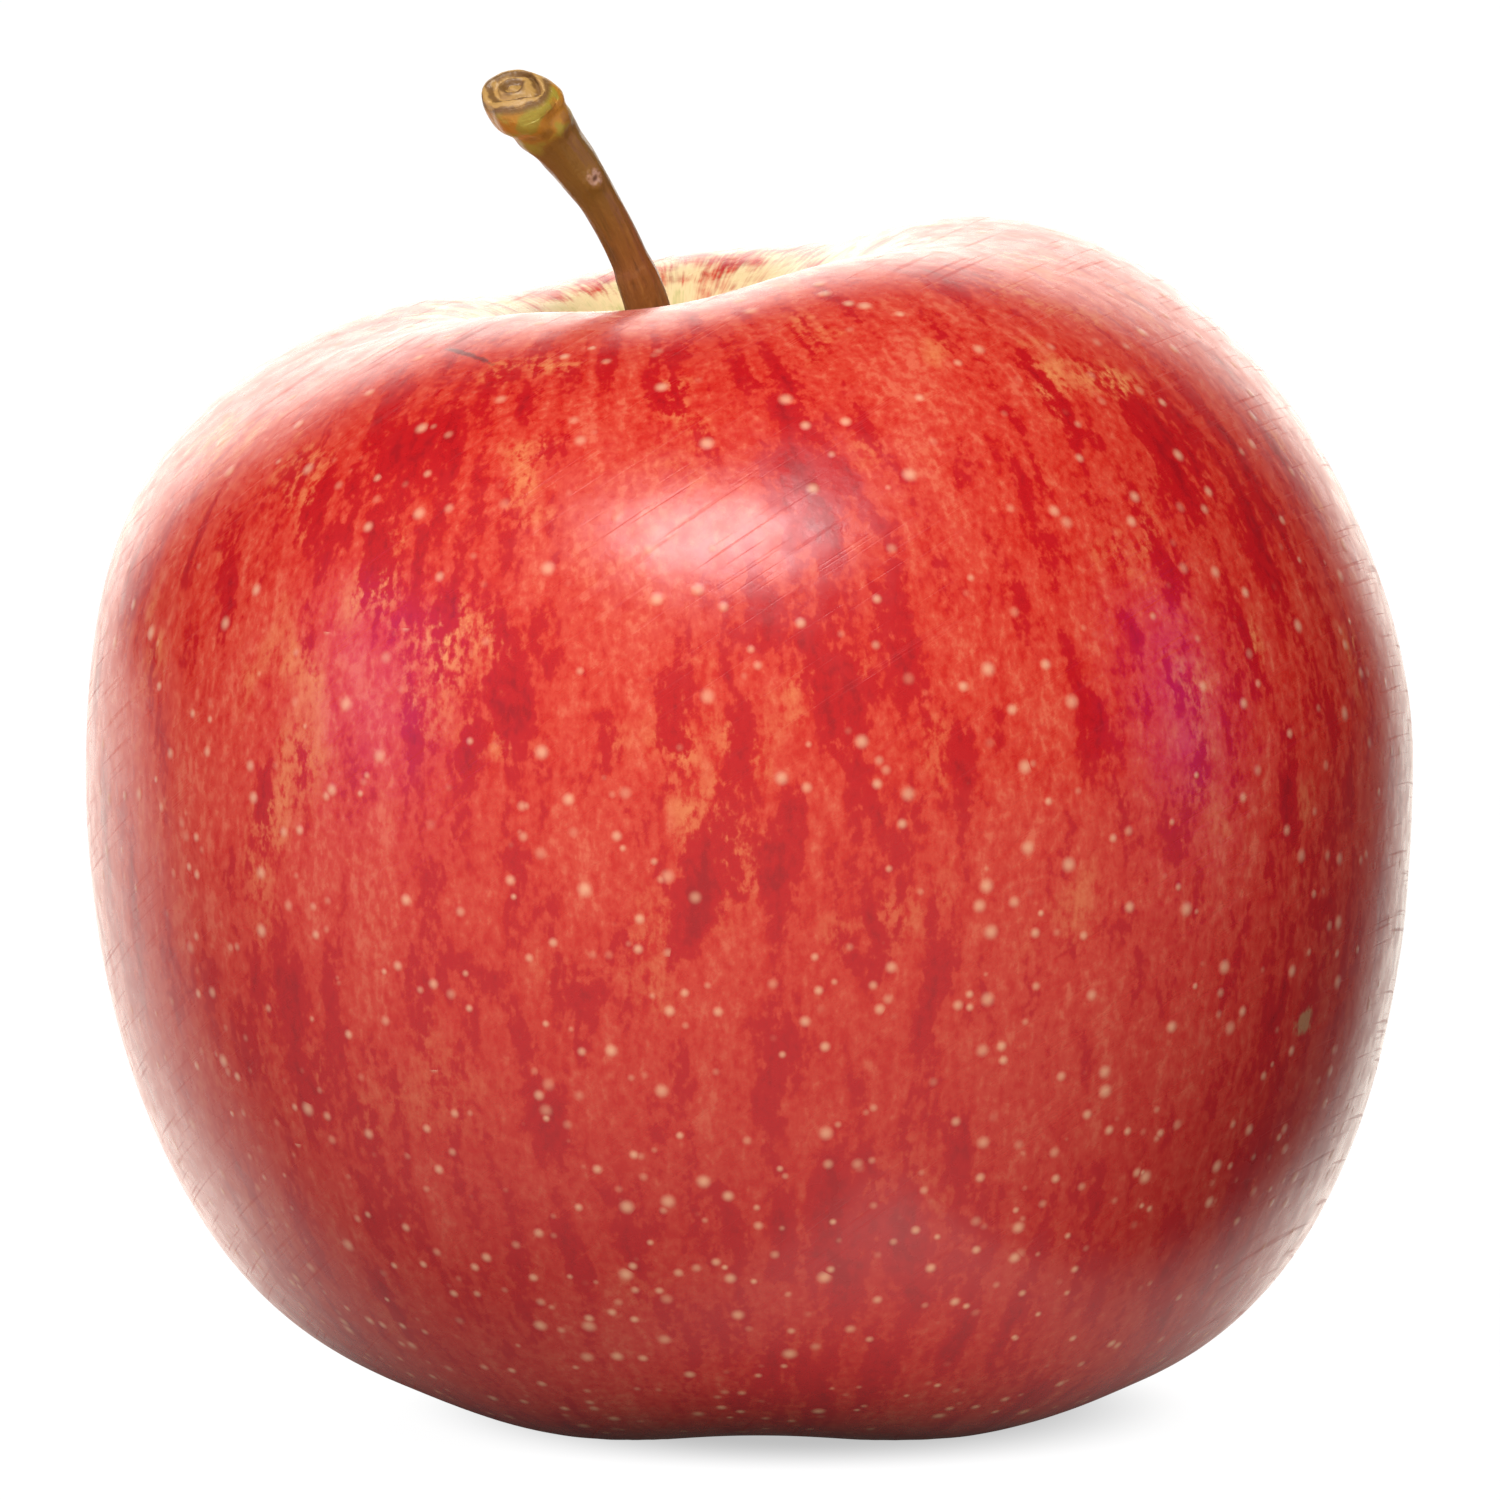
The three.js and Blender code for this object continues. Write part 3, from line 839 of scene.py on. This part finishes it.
def waxy_apple_skin(c):
    """Ripe apple skin, grown in sun: a clear wax over red flames on a mottled salmon ground.
    The wax gives a soft highlight and bright edges, and pale pores break up the red."""
    material, tree = new_material("waxy_apple_skin")
    colours = {key: [*getattr(c, key), 1.0] for key in AppleSkinSettings.__annotations__}
    place = add(tree, "Attribute", attribute_name="skin_place").outputs["Vector"]
    place = add(tree, "VectorMath.SCALE", {"Vector": place, "Scale": PER_MM})
    zone = add(tree, "Attribute", attribute_name="skin_zone").outputs["Vector"]
    zone = add(tree, "SeparateXYZ", zone).outputs
    body = add(tree, "TexCoord").outputs["Object"]
    body = add(tree, "VectorMath.SCALE", {"Vector": body, "Scale": PER_MM})

    # the pattern wanders a millimetre or so off the straight line from calyx to stalk
    wander = add(tree, "TexNoise", {"Vector": body, "Scale": 1 / 3.5, "Detail": 3})
    wander = wander.outputs["Color"]
    wander = add(tree, "VectorMath.SUBTRACT", wander, (0.5, 0.5, 0.5))
    drift = add(tree, "VectorMath.MULTIPLY_ADD", wander, (2.0, 2.0, 5.0), place)
    tilted = add(tree, "Mapping", {"Vector": body, "Rotation": (0.2, 0.6, 0.1)})
    followed = {"body": body, "drift": drift, "tilted": tilted}
    pattern = {}
    for name, (follows, wide, tall, detail, roughness) in SKIN_PATTERNS.items():
        size = (1 / wide, 1 / wide, 1 / tall)
        scaled = add(tree, "VectorMath.MULTIPLY", followed[follows], size)
        inputs = {"Vector": scaled, "Scale": 1, "Detail": detail, "Roughness": roughness}
        pattern[name] = add(tree, "TexNoise", inputs).outputs["Fac"]

    # two depths of red, from the same four patterns
    depths = []
    for shares in (MOTTLE_SHARES, FLAME_SHARES):
        depth = 0.0
        for name, share in zip(("grain", "stroke", "flame", "region"), shares):
            depth = add(tree, "Math.MULTIPLY_ADD", pattern[name], share, depth)
        depths.append(depth)
    mottle, flames = depths
    light = add(tree, "MapRange", mottle, 1.26, 1.02, 0, 1, **SOFT)
    pale = add(tree, "MapRange", mottle, 1.07, 0.85, 0, 0.6, **SOFT)
    gold = add(tree, "MapRange", pattern["warmth"], 0.54, 0.76, 0, 0.5, **SOFT)
    gold = add(tree, "Math.MULTIPLY", gold, light)
    sunny = add(tree, "MapRange", zone["Z"], 0.35, 0.9, 0.3, 1.8, **SOFT)
    gold = add(tree, "Math.MULTIPLY", gold, sunny)
    stripe = add(tree, "MapRange", flames, 0.79, 0.86, 0, 0.95, **SOFT)
    core = add(tree, "MapRange", flames, 0.87, 0.99, 0, 0.7, **SOFT)

    # painted shade: the blush is painted deeper towards the base, where the fruit stands in shade
    painted_base_shade = add(tree, "MapRange", zone["Z"], 0.7, 0.15, 0, 0.45, **SOFT)

    # the blush fades out over the rim, in soft streaks, into the cream and green of the cavity
    frayed = add(tree, "Math.SUBTRACT", pattern["stroke"], 0.5)
    cloud = add(tree, "Math.SUBTRACT", pattern["cloud"], 0.5)
    inward = add(tree, "Math.MULTIPLY_ADD", frayed, 0.7, zone["X"])
    inward = add(tree, "Math.MULTIPLY_ADD", cloud, 1.3, inward)
    unblushed = add(tree, "MapRange", inward, 0.0, 0.42, 0, 0.92, **SOFT)
    mossy = add(tree, "MapRange", inward, 0.4, 0.85, 0, 0.8, **SOFT)
    corky = add(tree, "MapRange", inward, 0.72, 0.95, 0, 0.85, **SOFT)
    basin = add(tree, "Math.MULTIPLY_ADD", frayed, 1.2, zone["Y"])
    basin = add(tree, "MapRange", basin, 0.4, 0.85, 0, 0.75, **SOFT)

    # pores are pale dots, and a finer kind crowds towards the calyx
    pores = None
    for cell, size, at_top, at_base in PORE_LAYERS:
        spots = add(tree, "TexVoronoi", {"Vector": body, "Scale": 1 / cell})
        chance = add(tree, "SeparateXYZ", spots.outputs["Color"]).outputs
        share = size / cell
        wide = add(tree, "Math.MULTIPLY_ADD", chance["X"], 0.5 * share, 0.65 * share)
        inner = add(tree, "Math.MULTIPLY", wide, 0.05)
        dot = add(tree, "MapRange", spots.outputs["Distance"], inner, wide, 1, 0, **SOFT)
        crowd = add(tree, "MapRange", zone["Z"], 0.8, 0.15, at_top, at_base)
        keep = add(tree, "Math.LESS_THAN", chance["Y"], crowd)
        dot = add(tree, "Math.MULTIPLY", dot, keep)
        if pores is None:
            pores = dot
        else:
            pores = add(tree, "Math.MAXIMUM", pores, dot)
    shown = add(tree, "Math.MULTIPLY", pores, PORE_STRENGTH)

    # each layer of colour lies over the ones before it
    layers = [
        (pale, "fleck"),
        (gold, "gold"),
        (stripe, "stripe"),
        (core, "shade"),
        # painted shade towards the base
        (painted_base_shade, "shade"),
        (unblushed, "cream"),
        (mossy, "moss"),
        (corky, "russet"),
        (basin, "moss"),
        (shown, "lenticel"),
    ]
    for centre, turn, size, colour, share in HEALED_MARKS:
        near = add(tree, "Mapping", body, centre, turn, size, vector_type="TEXTURE")
        near = add(tree, "VectorMath.LENGTH", near).outputs["Value"]
        near = add(tree, "Math.MULTIPLY_ADD", pattern["grain"], 2.2, near)
        mark = add(tree, "MapRange", near, 2.3, 1.6, 0, share, **SOFT)
        layers.append((mark, colour))
    skin = add(tree, "Mix", light, colours["blush"], colours["salmon"], **COLOUR_MIX)
    for share, colour in layers:
        skin = add(tree, "Mix", share, skin, colours[colour], **COLOUR_MIX)

    # wax: fine orange peel, handling scratches, and duller pores
    peel = pattern["peel"]
    scratch = add(tree, "MapRange", pattern["scratch"], 0.6, 0.72, 0, 1, **SOFT)
    rough = add(tree, "MapRange", peel, 0.35, 0.65, 0.24, 0.32)
    for layer, share in ((scratch, 0.1), (pores, 0.12), (corky, 0.35)):
        rough = add(tree, "Math.MULTIPLY_ADD", layer, share, rough)
    relief = 0
    for layer, depth in ((peel, 0.03), (pores, 0.02), (scratch, -0.004)):
        relief = add(tree, "Math.MULTIPLY_ADD", layer, depth, relief)
    raised = add(tree, "Bump", {"Height": relief, "Distance": MM, "Strength": 1.0})
    inputs = {"Base Color": skin, "Roughness": rough, "Normal": raised, "IOR": WAX_IOR}
    shader = add(tree, "BsdfPrincipled", inputs)
    add(tree, "OutputMaterial", shader)
    return material


def dry_apple_bark(c):
    """The bark of an apple stalk, dried on the fruit: brown with long fibres, ochre and olive
    on the knob, and a pale torn end. It gives a dull, streaky surface with a little sheen."""
    material, tree = new_material("dry_apple_bark")
    colours = {key: [*getattr(c, key), 1.0] for key in AppleStalkSettings.__annotations__}
    grain = add(tree, "Attribute", attribute_name="grain_place").outputs["Vector"]
    grain = add(tree, "VectorMath.SCALE", {"Vector": grain, "Scale": PER_MM})
    along = add(tree, "SeparateXYZ", grain).outputs
    body = add(tree, "TexCoord").outputs["Object"]
    body = add(tree, "VectorMath.SCALE", {"Vector": body, "Scale": PER_MM})

    # fibres 0.3 mm wide and 2 mm long, blotches of 1.4 mm and specks of 0.3 mm
    fibres = add(tree, "VectorMath.MULTIPLY", grain, (3.2, 3.2, 0.45))
    inputs = {"Vector": fibres, "Scale": 1, "Detail": 4, "Roughness": 0.6}
    fibres = add(tree, "TexNoise", inputs)
    blotch = add(tree, "TexNoise", {"Vector": body, "Scale": 0.7, "Detail": 3})
    speck = add(tree, "TexNoise", {"Vector": body, "Scale": 3.5, "Detail": 2})
    light = add(tree, "MapRange", fibres, 0.5, 0.72, 0, 0.5, **SOFT)
    dark = add(tree, "MapRange", fibres, 0.48, 0.3, 0, 0.5, **SOFT)
    bark = add(tree, "Mix", light, colours["bark"], colours["bark_light"], **COLOUR_MIX)
    bark = add(tree, "Mix", dark, bark, colours["bark_dark"], **COLOUR_MIX)

    # the shank turns olive towards the knob, and a bud left a pale scar on it
    upper = add(tree, "MapRange", along["Z"], 12.0, 20.0, 0, 0.8, **SOFT)
    bark = add(tree, "Mix", upper, bark, colours["olive"], **COLOUR_MIX)
    bud = (BUD_OUT * math.cos(BUD_ANGLE), BUD_OUT * math.sin(BUD_ANGLE), BUD_ALONG + 0.2)
    bud = add(tree, "VectorMath.DISTANCE", grain, bud).outputs["Value"]
    rim = add(tree, "Math.MULTIPLY_ADD", speck, 0.7, bud)
    rim = add(tree, "MapRange", rim, 0.95, 0.6, 0, 0.75, **SOFT)
    bark = add(tree, "Mix", rim, bark, colours["bud"], **COLOUR_MIX)
    core = add(tree, "MapRange", bud, 0.3, 0.1, 0, 0.8, **SOFT)
    bark = add(tree, "Mix", core, bark, colours["bark_dark"], **COLOUR_MIX)

    # the knob: ochre with olive blotches, from where the shank flares
    edge = add(tree, "Math.MULTIPLY_ADD", blotch, 5.0, along["Z"])
    on_knob = add(tree, "MapRange", edge, 25.0, 26.4, 0, 1, **SOFT)
    olive = add(tree, "MapRange", blotch, 0.5, 0.62, 0, 0.8, **SOFT)
    knob = add(tree, "Mix", olive, colours["knob"], colours["knob_green"], **COLOUR_MIX)
    bark = add(tree, "Mix", on_knob, bark, knob, **COLOUR_MIX)

    # the torn end: pale wood with dark rings
    flat_grain = add(tree, "VectorMath.MULTIPLY", grain, (1, 1, 0))
    out = add(tree, "VectorMath.LENGTH", flat_grain).outputs["Value"]
    torn = add(tree, "MapRange", along["Z"], 25.55, 25.95, 0, 1, **SOFT)
    ring = add(tree, "Math.MULTIPLY_ADD", speck, 0.12, out)
    ring = add(tree, "Math.MULTIPLY_ADD", blotch, 1.0, ring)
    ring = add(tree, "Math.MULTIPLY", ring, TAU / RING_SPACING)
    ring = add(tree, "Math.COSINE", ring)
    ring = add(tree, "MapRange", ring, 0.6, -0.8, 0, 0.7, **SOFT)
    wood = add(tree, "Mix", ring, colours["scar"], colours["bark_dark"], **COLOUR_MIX)
    bark = add(tree, "Mix", torn, bark, wood, **COLOUR_MIX)

    relief = add(tree, "Math.MULTIPLY_ADD", fibres, 0.06, 0)
    relief = add(tree, "Math.MULTIPLY_ADD", speck, 0.04, relief)
    raised = add(tree, "Bump", {"Height": relief, "Distance": MM, "Strength": 1.0})
    rough = add(tree, "MapRange", blotch, 0.3, 0.7, 0.32, 0.5)
    inputs = {"Base Color": bark, "Roughness": rough, "Normal": raised, "IOR": BARK_IOR}
    shader = add(tree, "BsdfPrincipled", inputs)
    add(tree, "OutputMaterial", shader)
    return material


def dried_calyx(name, base, tip, rib_width):
    """Plant tissue dried on the fruit: grey brown, brittle and fibrous, dark at the tips.
    It gives a dull, papery surface with fine ribs, whose width is in millimetres."""
    material, tree = new_material(name)
    body = add(tree, "TexCoord").outputs["Object"]
    body = add(tree, "VectorMath.SCALE", {"Vector": body, "Scale": PER_MM})
    scale = (1 / rib_width, 1 / rib_width, 0.25 / rib_width)
    ribs = add(tree, "VectorMath.MULTIPLY", body, scale)
    inputs = {"Vector": ribs, "Scale": 1, "Detail": 4, "Roughness": 0.7}
    ribs = add(tree, "TexNoise", inputs)
    height = add(tree, "SeparateXYZ", body).outputs["Z"]
    low = add(tree, "MapRange", height, 5.5, 2.6, 0, 1, **SOFT)
    spread = add(tree, "MapRange", ribs, 0.35, 0.65, -0.3, 0.5)
    share = add(tree, "Math.ADD", low, spread, use_clamp=True)
    colour = add(tree, "Mix", share, [*base, 1.0], [*tip, 1.0], data_type="RGBA")
    relief = add(tree, "Math.MULTIPLY", ribs, 0.15)
    raised = add(tree, "Bump", {"Height": relief, "Distance": MM, "Strength": 1.0})
    rough = add(tree, "MapRange", ribs, 0.3, 0.7, 0.75, 0.95)
    inputs = {"Base Color": colour, "Roughness": rough, "Normal": raised, "Sheen Weight": 0.4}
    shader = add(tree, "BsdfPrincipled", inputs)
    add(tree, "OutputMaterial", shader)
    return material


# ---------------------------------------------------------------- operators


class APPLE_OT_fruit(bpy.types.Operator):
    """Grow the fruit around its CAD solid"""

    bl_idname = "apple.fruit"
    bl_label = "Fruit"

    def execute(self, context):
        scene = context.scene
        fruit = make_fruit(scene.apple_fruit, waxy_apple_skin(scene.apple_skin))
        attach(fruit, BODY)
        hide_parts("fruit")
        return {"FINISHED"}


class APPLE_OT_stalk(bpy.types.Operator):
    """Bend the stalk out of the cavity"""

    bl_idname = "apple.stalk"
    bl_label = "Stalk"

    def execute(self, context):
        stalk = make_stalk(dry_apple_bark(context.scene.apple_stalk))
        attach(stalk, BODY)
        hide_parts("stem")
        return {"FINISHED"}


class APPLE_OT_calyx(bpy.types.Operator):
    """Set the dried sepals and stamens in the basin"""

    bl_idname = "apple.calyx"
    bl_label = "Dried Calyx"

    def execute(self, context):
        settings = context.scene.apple_calyx
        leaf = dried_calyx("dried_sepal_tissue", settings.sepal, settings.sepal_tip, 0.5)
        thread = dried_calyx("dried_stamen_tissue", settings.stamen, settings.sepal_tip, 0.3)
        for index in range(1, LOBES + 1):
            sepal = make_sepal(index, settings, leaf)
            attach(sepal, BODY)
            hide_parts(f"sepal_{index}")
        tuft = make_tuft(settings, thread)
        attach(tuft, BODY)
        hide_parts("stamen_tuft")
        return {"FINISHED"}


# The lamps: azimuth, elevation, distance, size, shape and colour. Azimuth 0 is the front and
# 90 the right. The key hangs overhead, and two violet fills stand low at the sides.
LAMPS = {
    "key": (-5, 55, 1.0, (0.52, 0.4), "ELLIPSE", "#FFFFFF"),
    "left_fill": (-66, 6, 1.3, (0.6, 1.0), "RECTANGLE", "#6E48FF"),
    "right_fill": (80, 4, 1.3, (0.3, 1.0), "RECTANGLE", "#7850FF"),
}
LEFT_FILL_POWER = 4.6
RIGHT_FILL_POWER = 2.8
# The colour of everything bright that the fruit mirrors, and what the camera sees in its place.
WARM_WHITE = (1.04, 1.0, 0.9, 1.0)
WHITE = (1, 1, 1, 1)
# Bright patches of the surround, as (direction, cosine where it starts, cosine where it is
# full, brightness), over a dim base.
SURROUND_BASE = 0.03
SURROUND_PATCHES = (
    ((-0.05, 0.975, 0.21), 0.82, 0.95, 3.0),
    ((-0.5, -0.84, 0.1), 0.0, 0.9, 0.68),
)
# Bright patches of the table in the same form, each after a shift of the point that its
# direction is seen from.
TABLE_BASE = 0.05
TABLE_PATCHES = (
    ((-16 * MM, 50 * MM, 0), (-0.21, 0.98, 0), 0.62, 0.88, 2.0),
    ((0, 28 * MM, 0), (-0.2, -0.98, 0), -0.5, 0.7, 0.95),
)
TABLE_REACH = 6.0
# The painted shadow under the fruit: its shift and its radii on the table, and its darkest
# and its lightest share of white.
SHADOW_SHIFT = (-3 * MM, 0, 0)
SHADOW_RADII = (24 * MM, 30 * MM)
SHADOW_DARKEST = 0.52
SHADOW_LIGHTEST = 0.99


def hang_lamp(name, power, aim):
    """Hangs an area lamp that shines at the fruit and is not seen itself."""
    azimuth, elevation, distance, size, shape, colour = LAMPS[name]
    lamp = bpy.data.lights.new(name, "AREA")
    lamp.shape = shape
    lamp.size, lamp.size_y = size
    lamp.energy = power
    lamp.color = linear(colour)[:3]
    light = bpy.data.objects.new(name, lamp)
    turn, lift = math.radians(azimuth), math.radians(elevation)
    way = Vector(
        (math.sin(turn) * math.cos(lift), -math.cos(turn) * math.cos(lift), math.sin(lift))
    )
    light.location = aim + way * distance
    light.rotation_euler = way.to_track_quat("Z", "Y").to_euler()
    light.visible_camera = False
    bpy.context.collection.objects.link(light)


def studio_world():
    """A white surround that the camera sees as pure white. To the fruit it is a bright patch
    behind, to the left and above, which whitens its edges and its top, and a dim, broad
    glow in front, which fills in the red without a reflection of its own."""
    world = bpy.data.worlds.new("white_studio")
    world.use_nodes = True
    tree = world.node_tree
    tree.nodes.clear()
    way = add(tree, "TexCoord").outputs["Generated"]
    way = add(tree, "VectorMath.MULTIPLY", way, (0.85, 1.0, 1.0))
    way = add(tree, "VectorMath.NORMALIZE", way)
    strength = SURROUND_BASE
    for centre, start, full, bright in SURROUND_PATCHES:
        near = add(tree, "VectorMath.DOT_PRODUCT", way, centre).outputs["Value"]
        patch = add(tree, "MapRange", near, start, full, 0, bright, **SOFT)
        strength = add(tree, "Math.ADD", patch, strength)
    seen = add(tree, "LightPath").outputs["Is Camera Ray"]
    strength = add(tree, "Mix", seen, strength, 1.1, data_type="FLOAT")
    tint = add(tree, "Mix", seen, WARM_WHITE, WHITE, data_type="RGBA")
    light = add(tree, "Background", tint, strength)
    add(tree, "OutputWorld", light)
    bpy.context.scene.world = world


def make_floor():
    """A wide light table of white acrylic. The camera sees it evenly white under a faint painted
    shadow. To the fruit it is bright behind and dim in front, as a table is whose lamps lie
    behind the fruit, and dark close by, which is painted shade where the fruit would shade it."""
    reach = TABLE_REACH
    corners = [(-reach, -reach, 0), (reach, -reach, 0), (reach, reach, 0), (-reach, reach, 0)]
    floor = as_mesh_object("floor", corners, [(0, 1, 2, 3)])
    material, tree = new_material("lit_white_acrylic")
    seen = add(tree, "LightPath").outputs["Is Camera Ray"]
    place = add(tree, "TexCoord").outputs["Object"]
    away = add(tree, "VectorMath.LENGTH", place).outputs["Value"]
    strength = TABLE_BASE
    for shift, centre, start, full, bright in TABLE_PATCHES:
        way = add(tree, "VectorMath.ADD", place, shift)
        way = add(tree, "VectorMath.NORMALIZE", way)
        near = add(tree, "VectorMath.DOT_PRODUCT", way, centre).outputs["Value"]
        patch = add(tree, "MapRange", near, start, full, 0, bright, **SOFT)
        strength = add(tree, "Math.ADD", patch, strength)
    # painted shade: the glow that lights the fruit is dimmed close under it, where the fruit would
    # shade the table
    clear_of_painted_shade = add(tree, "MapRange", away, 18 * MM, 56 * MM, 0.03, 1.0, **SOFT)
    strength = add(tree, "Math.MULTIPLY", strength, clear_of_painted_shade)
    # the painted shadow that the camera sees: an ellipse that fades out in front of the feet
    shaded = add(tree, "VectorMath.ADD", place, SHADOW_SHIFT)
    wide, deep = SHADOW_RADII
    shaded = add(tree, "VectorMath.MULTIPLY", shaded, (1 / wide, 1 / deep, 0))
    shaded = add(tree, "VectorMath.LENGTH", shaded).outputs["Value"]
    darkness = [shaded, 0.5, 1.0, SHADOW_DARKEST, SHADOW_LIGHTEST]
    painted_contact_shadow = add(tree, "MapRange", *darkness, **SOFT)
    glow = add(tree, "Mix", seen, strength, painted_contact_shadow, data_type="FLOAT")
    greys = {"Factor": seen, "A": linear("#404040"), "B": linear("#303030")}
    card = add(tree, "Mix", greys, data_type="RGBA")
    tint = add(tree, "Mix", seen, WARM_WHITE, WHITE, data_type="RGBA")
    inputs = {"Base Color": card, "Roughness": 0.9, "IOR": 1.1}
    inputs.update({"Emission Color": tint, "Emission Strength": glow})
    shader = add(tree, "BsdfPrincipled", inputs)
    add(tree, "OutputMaterial", shader)
    floor.data.materials.append(material)
    return floor


def make_camera(settings, aim):
    data = bpy.data.cameras.new("camera")
    data.lens = data.sensor_width * settings.camera_distance / settings.view_width
    data.clip_end = 20
    camera = bpy.data.objects.new("camera", data)
    back, up = math.cos(settings.camera_height), math.sin(settings.camera_height)
    camera.location = aim + Vector((0, -back, up)) * settings.camera_distance
    camera.rotation_euler = (math.pi / 2 - settings.camera_height, 0, 0)
    bpy.context.collection.objects.link(camera)
    bpy.context.scene.camera = camera


class APPLE_OT_stage(bpy.types.Operator):
    """Set the floor, the soft light and the camera"""

    bl_idname = "apple.stage"
    bl_label = "Stage"

    def execute(self, context):
        settings = context.scene.apple_stage
        make_floor()
        aim = Vector((0, 0, settings.aim_height))
        studio_world()
        context.scene.view_settings.view_transform = "Standard"
        hang_lamp("key", settings.key_power, aim)
        hang_lamp("left_fill", LEFT_FILL_POWER, aim)
        hang_lamp("right_fill", RIGHT_FILL_POWER, aim)
        make_camera(settings, aim)
        return {"FINISHED"}


# ---------------------------------------------------------------- add-on

GROUPS = {
    "apple_fruit": AppleFruitSettings,
    "apple_skin": AppleSkinSettings,
    "apple_stalk": AppleStalkSettings,
    "apple_calyx": AppleCalyxSettings,
    "apple_stage": AppleStageSettings,
}
OPERATORS = (APPLE_OT_fruit, APPLE_OT_stalk, APPLE_OT_calyx, APPLE_OT_stage)


class APPLE_PT_panel(bpy.types.Panel):
    """Lists the apple's pieces and their settings"""

    bl_label = "Apple"
    bl_idname = "APPLE_PT_panel"
    bl_space_type = "VIEW_3D"
    bl_region_type = "UI"
    bl_category = "Apple"

    def draw(self, context):
        for operator in OPERATORS:
            self.layout.operator(operator.bl_idname)
        for name, group in GROUPS.items():
            box = self.layout.box()
            box.label(text=name.replace("_", " ").title())
            for key in group.__annotations__:
                box.prop(getattr(context.scene, name), key)


def register():
    for group in (*GROUPS.values(), *OPERATORS, APPLE_PT_panel):
        bpy.utils.register_class(group)
    for name, group in GROUPS.items():
        setattr(bpy.types.Scene, name, bpy.props.PointerProperty(type=group))


def unregister():
    for name in GROUPS:
        delattr(bpy.types.Scene, name)
    for group in reversed((*GROUPS.values(), *OPERATORS, APPLE_PT_panel)):
        bpy.utils.unregister_class(group)


def main():
    register()
    bpy.ops.apple.fruit()
    bpy.ops.apple.stalk()
    bpy.ops.apple.calyx()
    bpy.ops.apple.stage()


if __name__ == "__main__":
    main()
